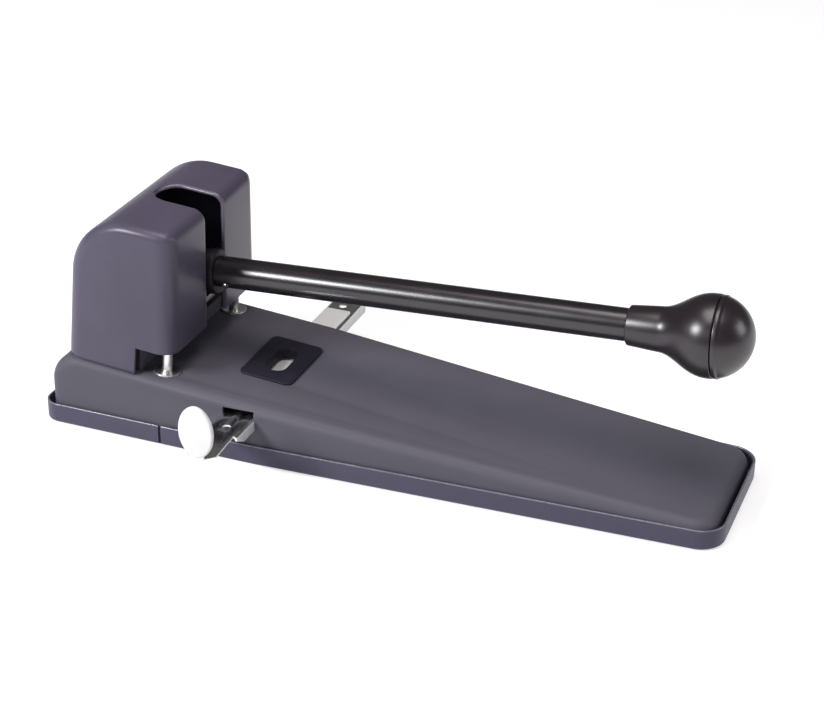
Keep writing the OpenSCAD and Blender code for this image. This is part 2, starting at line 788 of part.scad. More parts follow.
module pressure_bar() {
  sl_y0 = drive_fore - drive_d / 2 - drive_clear;
  sl_y1 = drive_y + drive_d / 2 + drive_clear;
  sl_h = drive_d + 2 * drive_clear;
  color([0.6, 0.6, 0.62]) head() difference() {
    translate([0, 0, bar_z]) linear_extrude(height = bar_h) bar_plan(frame_hw, -bar_front, bar_back);
    translate([-ear_in, -bar_front - 1, bar_z + bridge_t]) cube([2 * ear_in, bar_front + bar_back + 2, bar_h]);
    translate([-ear_in, bridge_back, bar_z - 1]) cube([2 * ear_in, bar_back - bridge_back + 1, bar_h]);
    translate([-ear_out, sl_y0, drive_z - sl_h / 2]) cube([2 * ear_out, sl_y1 - sl_y0, sl_h]);
    for (m = [-1, 1]) translate([m * pin_x, 0, bar_z - 1]) cylinder(d = shank_d + 2 * fixed_clear, h = bar_h + 2);
  }
}

pin_tail = 1.4;
module punch_pin(m) {
  head() translate([m * pin_x, 0, 0]) difference() {
    union() {
      translate([0, 0, -tip_depth]) cylinder(r = pin_r, h = tip_depth + bar_z);
      translate([0, 0, bar_z - 1]) cylinder(d = shank_d, h = bar_h + 1 + ring_t + pin_tail);
    }
    translate([0, 0, -tip_depth - pin_d * 0.65]) rotate([90, 0, 0]) cylinder(r = pin_d * 0.75, h = 2 * pin_d, center = true);
    translate([0, 0, bar_top]) difference() {
      cylinder(d = 2 * shank_d, h = ring_t);
      translate([0, 0, -1]) cylinder(d = shank_d - 1, h = ring_t + 2);
    }
  }
}

module punch_pin_left() { color([0.82, 0.82, 0.84]) punch_pin(-1); }
module punch_pin_right() { color([0.82, 0.82, 0.84]) punch_pin(1); }

module pin_clips() {
  color([0.5, 0.5, 0.52]) head() for (m = [-1, 1]) translate([m * pin_x, 0, bar_top]) difference() {
    cylinder(d = ring_d, h = ring_t);
    translate([0, 0, -1]) cylinder(d = shank_d - 1 + 2 * fixed_clear, h = ring_t + 2);
  }
}

spigot_r = tube_d / 2 - tube_t - fixed_clear;
module lever_arm() {
  back = root_y + boss_t - 0.4;
  color([0.14, 0.13, 0.15]) difference() {
    union() {
      head() {
        translate([0, pivot_y, pivot_z]) xcyl(hub_r, 2 * hub_hw);
        across(web_t) {
          polygon([[pivot_y, pivot_z + hub_r], [back, root_z + boss_up - 2], [back, root_z - boss_down + 3],
            [drive_y, drive_z - eye_r], [pivot_y, pivot_z - hub_r]]);
          translate([pivot_y, pivot_z]) circle(r = hub_r);
          translate([drive_y, drive_z]) circle(r = eye_r);
        }
      }
      lever() {
        translate([0, 0, -boss_t]) linear_extrude(height = boss_t) {
          translate([-boss_w / 2, boss_w / 2 - boss_down]) square([boss_w, boss_up + boss_down - boss_w]);
          translate([0, boss_up - boss_w / 2]) circle(d = boss_w);
          translate([0, boss_w / 2 - boss_down]) circle(d = boss_w);
        }
        translate([0, 0, -1]) cylinder(r = spigot_r, h = spigot_l + 1);
      }
    }
    head() translate([0, pivot_y, pivot_z]) xcyl(axle_d / 2 + run_clear, 4 * hub_hw);
    head() translate([0, drive_y, drive_z]) xcyl(drive_d / 2 + fixed_clear, 4 * hub_hw);
    tube_screw_hole();
  }
}

// Radial hole for the tube's screw, on the paddle's side and low
module tube_screw_hole() {
  lever() translate([0, 0, tube_screw_u]) rotate([0, 0, 216]) rotate([0, 90, 0])
    translate([0, 0, spigot_r - 4]) cylinder(d = tube_screw_d + 2 * fixed_clear, h = tube_d);
}

module drive_pin() {
  color([0.7, 0.7, 0.72]) head() translate([0, drive_y, drive_z]) xcyl(drive_d / 2, 2 * (ear_out - 0.4));
}

module lever_tube() {
  color([0.1, 0.1, 0.12]) difference() {
    lever() difference() {
      cylinder(d = tube_d, h = tube_l);
      translate([0, 0, -1]) cylinder(d = tube_d - 2 * tube_t, h = tube_l + 2);
    }
    tube_screw_hole();
  }
}

module tube_screw() {
  color([0.8, 0.8, 0.82]) lever() translate([0, 0, tube_screw_u]) rotate([0, 0, 216]) rotate([0, 90, 0])
    difference() {
      translate([0, 0, spigot_r - 4]) cylinder(d = tube_screw_d, h = 4 + tube_t + 0.5);
      translate([0, 0, spigot_r + tube_t - 0.6]) cylinder(d = tube_screw_d * 0.55, h = 4, $fn = 6);
    }
}

// Radius of the knob's flare, blending the neck into the ball; t runs from 0 to 1
ball_r = ball_d / 2;
ball_u = tube_l + knob_past;
knob_steps = 12;
function ease(t) = t * t * (3 - 2 * t);
function ball_at(u) = sqrt(max(0, ball_r * ball_r - u * u));
flare_end = ball_r * 0.45;
function flare_pt(t) = let (u = -flare_l + t * (flare_l - flare_end), b = ball_at(flare_end))
  [u, neck_d / 2 + (b - neck_d / 2) * sin(90 * t) * t];
module knob_profile() {
  polygon(concat([[0, -neck_l], [collar_d / 2, -neck_l]],
    [for (i = [0 : knob_steps]) let (f = flare_pt(i / knob_steps)) [f[1], f[0]]],
    [[0, -flare_end]]));
}

knob_socket = neck_l - knob_past;
module knob_body() {
  color([0.1, 0.1, 0.12]) lever() translate([0, 0, ball_u]) difference() {
    union() {
      rotate_extrude() knob_profile();
      intersection() {
        sphere(r = ball_r);
        translate([0, 0, -flare_end - 0.01]) cylinder(r = ball_r + 1, h = flare_end + cap_seam - cap_groove / 2);
      }
    }
    translate([0, 0, -neck_l - 1]) cylinder(d = tube_d + 2 * fixed_clear, h = knob_socket + 1 + fixed_clear);
    translate([0, 0, cap_seam - cap_spigot_l - 0.3]) cylinder(d = cap_spigot_d + 2 * fixed_clear, h = 2 * cap_spigot_l);
  }
}

module knob_cap() {
  color([0.1, 0.1, 0.12]) lever() translate([0, 0, ball_u]) union() {
    intersection() {
      sphere(r = ball_r);
      translate([0, 0, cap_seam + cap_groove / 2]) cylinder(r = ball_r + 1, h = 2 * ball_r);
    }
    translate([0, 0, cap_seam - cap_spigot_l]) cylinder(d = cap_spigot_d, h = cap_spigot_l + 1);
    translate([0, 0, cap_seam - cap_groove / 2]) cylinder(r = ball_r - 1.2, h = cap_groove + 0.5);
  }
}

module guide_rail() {
  color([0.8, 0.8, 0.82]) translate([0, rail_y, rail_z]) difference() {
    union() {
      translate([0, 0, -rail_t]) linear_extrude(height = rail_t)
        polygon([[rail_far, -rail_w / 2], [rail_far, rail_w / 2], [tab_taper - rail_near, rail_w / 2],
          [-rail_near, tab_w / 2], [-rail_near, -tab_w / 2], [tab_taper - rail_near, -rail_w / 2]]);
      for (m = [-1, 1]) translate([0, m * (rail_w - rail_t) / 2, 0]) rotate([90, 0, 0])
        linear_extrude(height = rail_t, center = true)
          polygon([[rail_far, 0], [flange_back - rail_near - flange_taper, 0],
            [flange_back - rail_near - flange_taper, -rail_t], [flange_back - rail_near, -flange_h],
            [rail_far, -flange_h]]);
      translate([-rail_near, -tab_w / 2, -rail_t]) cube([rail_t, tab_w, rail_t + tab_h]);
    }
    translate([-rail_near + rail_hole_near, 0, -rail_t - 1]) cylinder(d = rail_hole_d, h = rail_t + 2);
    translate([rail_far - rail_hole_far, 0, -rail_t - 1]) cylinder(d = rail_hole_d, h = rail_t + 2);
  }
}

// Upright oval of four arcs, drawn about its middle
module oval(w, h, r) {
  a = h / 2;
  b = w / 2;
  big = (a * a + b * b - 2 * a * r) / (2 * (b - r));
  ex = big - b;
  ey = a - r;
  ty = ey * big / sqrt(ex * ex + ey * ey);
  intersection() {
    translate([ex, 0]) circle(r = big);
    translate([-ex, 0]) circle(r = big);
    square([w, 2 * ty], center = true);
  }
  for (m = [-1, 1]) translate([0, m * ey]) circle(r = r);
}

module rail_paddle() {
  tab_clear = fixed_clear;
  color([0.95, 0.95, 0.95]) translate([-rail_near, rail_y, rail_z]) difference() {
    translate([rail_t / 2, 0, paddle_lift + paddle_h / 2]) rotate([-paddle_lean, 0, 0])
      across(paddle_t) oval(paddle_w, paddle_h, paddle_r);
    translate([-tab_clear, -tab_w / 2 - tab_clear, -BIG / 2])
      cube([rail_t + 2 * tab_clear, tab_w + 2 * tab_clear, BIG / 2 + tab_h + tab_clear]);
  }
}

module scale_strip() {
  color([0.95, 0.95, 0.95]) translate([-scale_near, rail_y - scale_w / 2, rail_z])
    cube([scale_near + scale_far, scale_w, scale_t]);
}

base_tray();
chip_tray();
base_plate();
plate_posts();
base_screws();
die_left();
die_right();
head_frame();
frame_screws();
pin_guides();
back_stop();
lever_axle();
axle_clips();
head_cover();
cover_screws();
window_bezel();
rail_keepers();
pressure_bar();
punch_pin_left();
punch_pin_right();
pin_clips();
lever_arm();
drive_pin();
lever_tube();
tube_screw();
knob_body();
knob_cap();
guide_rail();
rail_paddle();
scale_strip();
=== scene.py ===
import json
import math
import bmesh
import bpy
from mathutils import Matrix, Vector


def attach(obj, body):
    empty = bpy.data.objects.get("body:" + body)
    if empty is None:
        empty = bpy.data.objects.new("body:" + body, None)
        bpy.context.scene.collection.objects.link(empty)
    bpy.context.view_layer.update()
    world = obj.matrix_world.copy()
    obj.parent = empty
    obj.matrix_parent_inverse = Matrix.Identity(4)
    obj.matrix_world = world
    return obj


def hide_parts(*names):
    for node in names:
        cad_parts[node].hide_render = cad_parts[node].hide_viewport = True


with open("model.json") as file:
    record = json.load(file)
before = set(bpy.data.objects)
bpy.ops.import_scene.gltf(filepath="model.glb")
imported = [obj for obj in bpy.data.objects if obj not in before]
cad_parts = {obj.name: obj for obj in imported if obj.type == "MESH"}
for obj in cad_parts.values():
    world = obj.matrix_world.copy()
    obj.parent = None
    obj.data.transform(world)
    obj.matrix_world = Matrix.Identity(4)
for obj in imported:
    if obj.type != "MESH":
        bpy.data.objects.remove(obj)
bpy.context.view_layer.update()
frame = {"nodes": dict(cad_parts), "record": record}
scene = bpy.context.scene
scene.view_settings.view_transform = "Standard"

# Sizes are in millimetres here and become metres when a piece is placed
TO_METRES = Matrix.Scale(0.001, 4)
PLATE_SLOPE = math.radians(4.6)
PLATE_HEIGHT = 37.0
HEAD = TO_METRES @ Matrix.Translation((0, 0, PLATE_HEIGHT)) @ Matrix.Rotation(PLATE_SLOPE, 4, "X")
LEVER_START = (0, -9.0, 43.906)
LEVER_TILT = math.radians(82.3)
LEVER = HEAD @ Matrix.Translation(LEVER_START) @ Matrix.Rotation(LEVER_TILT, 4, "X")
SOFT_ANGLE = math.radians(32)


# Camera
def place_camera():
    azimuth = math.radians(-69.15)
    elevation = math.radians(27.9)
    roll = math.radians(0.97)
    target = Vector((-0.0012, -0.12299, 0.04811))
    distance = 1.02219
    photo_width = 824
    focal_pixels = 1963.99
    back = Vector((
        math.sin(azimuth) * math.cos(elevation),
        -math.cos(azimuth) * math.cos(elevation),
        math.sin(elevation),
    ))
    right = (-back).cross(Vector((0, 0, 1))).normalized()
    up = right.cross(-back)
    rolled_right = right * math.cos(roll) + up * math.sin(roll)
    rolled_up = up * math.cos(roll) - right * math.sin(roll)
    turn = Matrix((rolled_right, rolled_up, back)).transposed().to_4x4()
    data = bpy.data.cameras.new("photo_camera")
    data.sensor_width = 36
    data.lens = focal_pixels / photo_width * data.sensor_width
    data.clip_start = 0.01
    camera = bpy.data.objects.new("photo_camera", data)
    camera.matrix_world = Matrix.Translation(target + back * distance) @ turn
    scene.collection.objects.link(camera)
    scene.camera = camera


place_camera()


# Light and floor
def soft_box(name, place, aim, width, height, watts, tint):
    data = bpy.data.lights.new(name, "AREA")
    data.shape = "RECTANGLE"
    data.size = width
    data.size_y = height
    data.energy = watts
    data.color = tint
    lamp = bpy.data.objects.new(name, data)
    lamp.location = place
    lamp.rotation_euler = (Vector(aim) - Vector(place)).to_track_quat("-Z", "Y").to_euler()
    scene.collection.objects.link(lamp)


soft_box("high_window", (-1.06, 0.73, 0.92), (0, -0.1, 0.06), 0.42, 0.42, 22, (0.97, 0.98, 1.0))
soft_box("side_box", (-1.36, -0.34, 0.86), (0, -0.1, 0.05), 0.9, 0.5, 1.5, (0.82, 0.91, 1.0))
soft_box("overhead_box", (-0.2, -0.2, 1.6), (0, -0.1, 0.05), 1.0, 1.0, 15, (1.0, 0.93, 0.92))
soft_box("front_window", (0.35, -1.6, 0.6), (0, -0.2, 0.06), 0.6, 0.6, 4.5, (0.95, 0.97, 1.0))


def sees_white(tree):
    rays = tree.nodes.new("ShaderNodeLightPath")
    eye_or_gloss = tree.nodes.new("ShaderNodeMath")
    eye_or_gloss.operation = "MAXIMUM"
    tree.links.new(rays.outputs["Is Camera Ray"], eye_or_gloss.inputs[0])
    tree.links.new(rays.outputs["Is Glossy Ray"], eye_or_gloss.inputs[1])
    any_sight = tree.nodes.new("ShaderNodeMath")
    any_sight.operation = "MAXIMUM"
    tree.links.new(eye_or_gloss.outputs[0], any_sight.inputs[0])
    tree.links.new(rays.outputs["Is Transmission Ray"], any_sight.inputs[1])
    return any_sight.outputs[0]


def dim_air():
    world = bpy.data.worlds.new("dim_studio")
    scene.world = world
    world.use_nodes = True
    tree = world.node_tree
    tree.nodes.clear()
    glow = tree.nodes.new("ShaderNodeBackground")
    glow.inputs["Color"].default_value = (1, 1, 1, 1)
    glow.inputs["Strength"].default_value = 0.1
    out = tree.nodes.new("ShaderNodeOutputWorld")
    tree.links.new(glow.outputs[0], out.inputs["Surface"])


def pale_floor():
    bm = bmesh.new()
    bmesh.ops.create_grid(bm, x_segments=4, y_segments=4, size=6)
    bmesh.ops.translate(bm, verts=bm.verts, vec=(0, 0, -0.0004))
    mesh = bpy.data.meshes.new("pale_floor")
    bm.to_mesh(mesh)
    bm.free()
    floor = bpy.data.objects.new("pale_floor", mesh)
    scene.collection.objects.link(floor)
    paper = bpy.data.materials.new("floor_paper")
    paper.use_nodes = True
    tree = paper.node_tree
    tree.nodes.clear()
    matt = tree.nodes.new("ShaderNodeBsdfDiffuse")
    matt.inputs["Color"].default_value = (0.6, 0.6, 0.6, 1)
    glow = tree.nodes.new("ShaderNodeEmission")
    glow.inputs["Color"].default_value = (1, 1, 1, 1)
    glow.inputs["Strength"].default_value = 0.62
    both = tree.nodes.new("ShaderNodeAddShader")
    pick = tree.nodes.new("ShaderNodeMixShader")
    out = tree.nodes.new("ShaderNodeOutputMaterial")
    tree.links.new(matt.outputs[0], both.inputs[0])
    tree.links.new(glow.outputs[0], both.inputs[1])
    tree.links.new(sees_white(tree), pick.inputs[0])
    tree.links.new(matt.outputs[0], pick.inputs[1])
    tree.links.new(both.outputs[0], pick.inputs[2])
    tree.links.new(pick.outputs[0], out.inputs["Surface"])
    mesh.materials.append(paper)


dim_air()
pale_floor()


# Finishes
def finish(name, colour, shade, rough, rough_spread, grain, grain_size, patch_size,
           metal=0.0, gloss=0.5, stretch=(1, 1, 1)):
    material = bpy.data.materials.new(name)
    material.use_nodes = True
    tree = material.node_tree
    tree.nodes.clear()
    out = tree.nodes.new("ShaderNodeOutputMaterial")
    skin = tree.nodes.new("ShaderNodeBsdfPrincipled")
    skin.inputs["Metallic"].default_value = metal
    skin.inputs["Specular IOR Level"].default_value = gloss
    tree.links.new(skin.outputs[0], out.inputs["Surface"])
    where = tree.nodes.new("ShaderNodeTexCoord")
    lay = tree.nodes.new("ShaderNodeMapping")
    lay.inputs["Scale"].default_value = stretch
    tree.links.new(where.outputs["Object"], lay.inputs["Vector"])
    patch = tree.nodes.new("ShaderNodeTexNoise")
    patch.inputs["Scale"].default_value = 1 / patch_size
    patch.inputs["Detail"].default_value = 5
    patch.inputs["Roughness"].default_value = 0.6
    tree.links.new(lay.outputs["Vector"], patch.inputs["Vector"])
    tone = tree.nodes.new("ShaderNodeValToRGB")
    tone.color_ramp.elements[0].position = 0.3
    tone.color_ramp.elements[1].position = 0.7
    tone.color_ramp.elements[0].color = (*shade, 1)
    tone.color_ramp.elements[1].color = (*colour, 1)
    tree.links.new(patch.outputs["Fac"], tone.inputs["Fac"])
    tree.links.new(tone.outputs["Color"], skin.inputs["Base Color"])
    sheen = tree.nodes.new("ShaderNodeMapRange")
    sheen.inputs["From Min"].default_value = 0.25
    sheen.inputs["From Max"].default_value = 0.75
    sheen.inputs["To Min"].default_value = rough - rough_spread
    sheen.inputs["To Max"].default_value = rough + rough_spread
    tree.links.new(patch.outputs["Fac"], sheen.inputs["Value"])
    tree.links.new(sheen.outputs["Result"], skin.inputs["Roughness"])
    fine = tree.nodes.new("ShaderNodeTexNoise")
    fine.inputs["Scale"].default_value = 1 / grain_size
    fine.inputs["Detail"].default_value = 3
    tree.links.new(lay.outputs["Vector"], fine.inputs["Vector"])
    bump = tree.nodes.new("ShaderNodeBump")
    bump.inputs["Strength"].default_value = grain
    bump.inputs["Distance"].default_value = 0.0002
    tree.links.new(fine.outputs["Fac"], bump.inputs["Height"])
    tree.links.new(bump.outputs["Normal"], skin.inputs["Normal"])
    return material


TRAY_PLASTIC = finish("tray_plastic", (0.074, 0.068, 0.114), (0.062, 0.057, 0.096), 0.42, 0.06,
                      0.22, 0.0006, 0.02, gloss=0.35)
# Rim top edge finish: a lighter colour for edge wear plus a painted highlight line along the rim
TRAY_EDGE_WEAR_AND_HIGHLIGHT = finish("tray_edge_wear_and_painted_highlight", (0.165, 0.158, 0.205), (0.120, 0.113, 0.160), 0.26, 0.05,
                     0.10, 0.0006, 0.006, gloss=0.8)
COVER_PLASTIC = finish("cover_plastic", (0.088, 0.076, 0.116), (0.077, 0.067, 0.103), 0.34, 0.03,
                       0.05, 0.0008, 0.025, gloss=0.38)
# Slot edge finish: a lighter colour for edge wear plus a painted highlight along the slot rim
COVER_EDGE_WEAR_AND_HIGHLIGHT = finish("cover_edge_wear_and_painted_highlight", (0.104, 0.088, 0.127), (0.088, 0.074, 0.111), 0.3, 0.03,
                      0.04, 0.0008, 0.012, gloss=0.9)
PLATE_PAINT = finish("plate_paint", (0.105, 0.101, 0.127), (0.099, 0.095, 0.120), 0.5, 0.05,
                     0.2, 0.0007, 0.03, gloss=0.2)
PLATE_RUBBED = finish("plate_rubbed_edge", (0.13, 0.125, 0.152), (0.105, 0.101, 0.127), 0.44, 0.05,
                      0.15, 0.0007, 0.006, gloss=0.25)
BLACK_ENAMEL = finish("black_enamel", (0.0115, 0.0085, 0.0125), (0.0085, 0.006, 0.009), 0.26, 0.025,
                      0.012, 0.002, 0.02, gloss=0.85)
ROOT_ENAMEL = finish("root_enamel", (0.0115, 0.0085, 0.0125), (0.0085, 0.006, 0.009), 0.5, 0.05,
                     0.1, 0.0012, 0.01, gloss=0.2)
KNOB_PLASTIC = finish("knob_plastic", (0.016, 0.010, 0.0145), (0.0125, 0.008, 0.0115), 0.32, 0.025,
                      0.015, 0.0012, 0.015, gloss=0.75)
CAP_PLASTIC = finish("knob_cap_plastic", (0.019, 0.0115, 0.0175), (0.015, 0.009, 0.0135), 0.31, 0.03,
                     0.03, 0.0012, 0.015, gloss=0.8)
BEZEL_PLASTIC = finish("bezel_plastic", (0.019, 0.017, 0.029), (0.015, 0.0135, 0.023), 0.5, 0.05,
                       0.15, 0.0005, 0.012, gloss=0.2)
WHITE_PLASTIC = finish("white_plastic", (0.92, 0.92, 0.92), (0.88, 0.88, 0.89), 0.3, 0.04,
                       0.1, 0.0006, 0.01)
SCALE_FILM = finish("scale_film", (0.96, 0.96, 0.96), (0.93, 0.93, 0.93), 0.4, 0.05, 0.1, 0.0004, 0.008)
BRIGHT_STEEL = finish("bright_steel", (0.84, 0.83, 0.83), (0.76, 0.75, 0.76), 0.13, 0.04,
                      0.08, 0.0006, 0.008, metal=1.0)
RAIL_STEEL = finish("rail_steel", (0.84, 0.84, 0.83), (0.76, 0.76, 0.76), 0.19, 0.05,
                    0.12, 0.0005, 0.004, metal=1.0, stretch=(0.08, 1, 1))
DIE_STEEL = finish("die_steel", (0.86, 0.85, 0.84), (0.78, 0.77, 0.76), 0.32, 0.06,
                   0.1, 0.0005, 0.006, metal=1.0)
# Rail flange faces: a lighter, matt finish that paints in a bright reflection
RAIL_FLANGE_PAINTED_REFLECTION = finish("rail_flange_painted_reflection", (0.85, 0.86, 0.86), (0.74, 0.75, 0.76), 0.42, 0.06,
                   0.15, 0.0006, 0.006, metal=0.3)
PLAIN_STEEL = finish("plain_steel", (0.5, 0.5, 0.52), (0.4, 0.4, 0.42), 0.38, 0.06,
                     0.2, 0.0005, 0.008, metal=1.0)
DARK_PAINT = finish("dark_paint", (0.045, 0.040, 0.055), (0.035, 0.031, 0.044), 0.45, 0.05,
                    0.2, 0.0006, 0.02, gloss=0.3)
CAST_METAL = finish("cast_metal", (0.045, 0.042, 0.045), (0.03, 0.028, 0.03), 0.6, 0.08,
                    0.5, 0.0012, 0.01, gloss=0.2)
BRASS = finish("guide_brass", (0.6, 0.45, 0.2), (0.5, 0.36, 0.15), 0.3, 0.06,
               0.15, 0.0006, 0.006, metal=1.0)

CAD_FINISH = {
    "tray_plastic": TRAY_PLASTIC,
    "cover_plastic": COVER_PLASTIC,
    "plate_paint": PLATE_PAINT,
    "black_paint": BLACK_ENAMEL,
    "knob_plastic": KNOB_PLASTIC,
    "bezel_plastic": BEZEL_PLASTIC,
    "white_plastic": WHITE_PLASTIC,
    "scale_film": SCALE_FILM,
    "bright_steel": BRIGHT_STEEL,
    "steel": PLAIN_STEEL,
    "dark_steel": DARK_PAINT,
    "casting": CAST_METAL,
    "brass": BRASS,
}
node_slots = {row["node"]: row["material_slot"] for row in frame["record"]["subparts"]}
NODE_FINISH = {"back_stop": PLATE_PAINT, "punch_pin_left": DIE_STEEL, "punch_pin_right": DIE_STEEL}
for node_name, node_object in frame["nodes"].items():
    node_object.data.materials.clear()
    node_object.data.materials.append(NODE_FINISH.get(node_name, CAD_FINISH[node_slots[node_name]]))


# Shaping helpers
def round_edges(bm, edges, radius, segments, material=-1):
    bmesh.ops.bevel(
        bm, geom=list(edges), offset=radius, offset_type="OFFSET", segments=segments, profile=0.5,
        affect="EDGES", material=material, clamp_overlap=False,
    )


def only_verts(geometry):
    return [g for g in geometry if isinstance(g, bmesh.types.BMVert)]


def block(low, high):
    bm = bmesh.new()
    bmesh.ops.create_cube(bm, size=1)
    middle = [(a + b) / 2 for a, b in zip(low, high)]
    bmesh.ops.scale(bm, verts=bm.verts, vec=[b - a for a, b in zip(low, high)])
    bmesh.ops.translate(bm, verts=bm.verts, vec=middle)
    return bm


def upright(edge):
    run = edge.verts[1].co - edge.verts[0].co
    return abs(run.z) > 0.9 * run.length


def level_loop(bm, height, near=0.01):
    return [e for e in bm.edges if all(abs(v.co.z - height) < near for v in e.verts)]


def turned(profile, steps=72):
    bm = bmesh.new()
    points = [bm.verts.new((radius, 0, z)) for radius, z in profile]
    lines = [bm.edges.new(pair) for pair in zip(points, points[1:] + points[:1])]
    bmesh.ops.spin(
        bm, geom=points + lines, cent=(0, 0, 0), axis=(0, 0, 1), angle=2 * math.pi, steps=steps,
        use_merge=True, use_duplicate=False,
    )
    return bm


def arc(cx, cz, radius, start, end, steps=6):
    angles = [math.radians(start + (end - start) * i / steps) for i in range(steps + 1)]
    return [(cx + radius * math.cos(a), cz + radius * math.sin(a)) for a in angles]


def mesh_object(name, bm, place):
    bmesh.ops.remove_doubles(bm, verts=bm.verts, dist=0.0005)
    bmesh.ops.recalc_face_normals(bm, faces=bm.faces)
    bmesh.ops.transform(bm, matrix=place, verts=bm.verts)
    mesh = bpy.data.meshes.new(name)
    bm.to_mesh(mesh)
    bm.free()
    obj = bpy.data.objects.new(name, mesh)
    scene.collection.objects.link(obj)
    return obj


def settle(obj):
    graph = bpy.context.evaluated_depsgraph_get()
    shaped = bpy.data.meshes.new_from_object(obj.evaluated_get(graph))
    obj.modifiers.clear()
    obj.data = shaped


def wall(obj, thickness):
    solid = obj.modifiers.new("wall", "SOLIDIFY")
    solid.thickness = thickness / 1000
    solid.offset = -1
    solid.use_even_offset = True
    settle(obj)


def cut(obj, *cutters):
    for cutter, place in cutters:
        tool = mesh_object("cutter", cutter, place)
        saw = obj.modifiers.new("cut", "BOOLEAN")
        saw.operation = "DIFFERENCE"
        saw.solver = "EXACT"
        saw.object = tool
        settle(obj)
        bpy.data.objects.remove(tool)


def merge_piece(obj, part):
    merged = bmesh.new()
    merged.from_mesh(obj.data)
    merged.from_mesh(part.data)
    merged.to_mesh(obj.data)
    merged.free()
    bpy.data.objects.remove(part)


def join_into(obj, bm, place):
    merge_piece(obj, mesh_object("added", bm, place))


def drop_faces(bm, faces):
    bmesh.ops.delete(bm, geom=list(faces), context="FACES_ONLY")
    loose = [e for e in bm.edges if not e.link_faces]
    bmesh.ops.delete(bm, geom=loose, context="EDGES")


def score(bm, point, way):
    everything = bm.verts[:] + bm.edges[:] + bm.faces[:]
    bmesh.ops.bisect_plane(bm, geom=everything, dist=0.0001, plane_co=point, plane_no=way)


def oblong(length, width, radius, low, high, steps=8):
    bm = block((-length / 2, -width / 2, low), (length / 2, width / 2, high))
    round_edges(bm, [e for e in bm.edges if upright(e)], radius, steps)
    return bm


def two_finishes(obj, pair):
    obj.data.materials.clear()
    for material in pair:
        obj.data.materials.append(material)
    obj.data.polygons.foreach_set("material_index", [0] * len(obj.data.polygons))


def ease_edges(obj, radius, segments=2, angle=40, rubbed=None):
    if rubbed is not None and len(obj.data.materials) < 2:
        two_finishes(obj, rubbed)
    soft = obj.modifiers.new("eased", "BEVEL")
    soft.width = radius / 1000
    soft.segments = segments
    soft.limit_method = "ANGLE"
    soft.angle_limit = math.radians(angle)
    soft.use_clamp_overlap = True
    if rubbed is not None:
        soft.material = 1
    settle(obj)


def finish_piece(obj, material, body, slot, *nodes):
    obj.data.name = obj.name
    if material is not None:
        obj.data.materials.clear()
        obj.data.materials.append(material)
    obj.data.polygons.foreach_set("use_smooth", [True] * len(obj.data.polygons))
    obj.data.set_sharp_from_angle(angle=SOFT_ANGLE)
    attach(obj, body)
    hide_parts(*nodes)


# Plan of the tray and the plate
BACK_HALF = 54.25
FRONT_HALF = 44.0
BACK_EDGE = 70.0
KINK = -56.0
FRONT_EDGE = -300.5
SIDE_TAPER = (BACK_HALF - FRONT_HALF) / (KINK - FRONT_EDGE)
SEAM = -1.9
SEAM_GAP = 1.4
CHIP_HALF = 45.0
CHIP_TOP = 22.0
CHIP_CLEAR = 0.4


def plan_block(side, front, back, front_radius, back_radius, low, high, steps=10):
    bm = bmesh.new()
    half = BACK_HALF - side
    tip = FRONT_HALF - side + front * SIDE_TAPER
    corners = [(-tip, FRONT_EDGE + front), (tip, FRONT_EDGE + front), (half, KINK),
               (half, BACK_EDGE - back), (-half, BACK_EDGE - back), (-half, KINK)]
    floor = bm.faces.new([bm.verts.new((x, y, low)) for x, y in corners])
    raised = bmesh.ops.extrude_face_region(bm, geom=[floor])["geom"]
    bmesh.ops.translate(bm, verts=only_verts(raised), vec=(0, 0, high - low))
    for at_back, radius in ((False, front_radius), (True, back_radius)):
        posts = [e for e in bm.edges if upright(e) and (e.verts[0].co.y > 0) == at_back
                 and abs(e.verts[0].co.y - KINK) > 5]
        if radius > 0:
            round_edges(bm, posts, radius, steps)
    bmesh.ops.recalc_face_normals(bm, faces=bm.faces)
    return bm


# Base plate: one pressed sheet with soft bends all round and a wide one at the back
PLATE_SHEET = 1.6
PLATE_SIDE_IN = 1.6
PLATE_FRONT_IN = 3.6
PLATE_BACK_IN = 5.6
PLATE_FRONT_RADIUS = 12
PLATE_FOOT = 2.0
PLATE_BACK_BEND = 17.0
PLATE_SIDE_BEND = 6.0
RAIL_FORWARD = 46.8
RAIL_WIDTH = 16.5
RAIL_DROP = 7.5
RAIL_HEIGHT = PLATE_HEIGHT - RAIL_FORWARD * math.tan(PLATE_SLOPE) - RAIL_DROP
FLANGE_HEIGHT = 5.8
PIN_X = 40.0
DIE_HOLE = 10.04
SLOT_PLAY = 0.5
SLOT_UNDER_TOP = 2.6
WINDOW_FORWARD = 48.0
BEZEL_LENGTH = 45.6
BEZEL_WIDTH = 30.2
BEZEL_LIP = 2.2
OPENING_RADIUS = 2.9


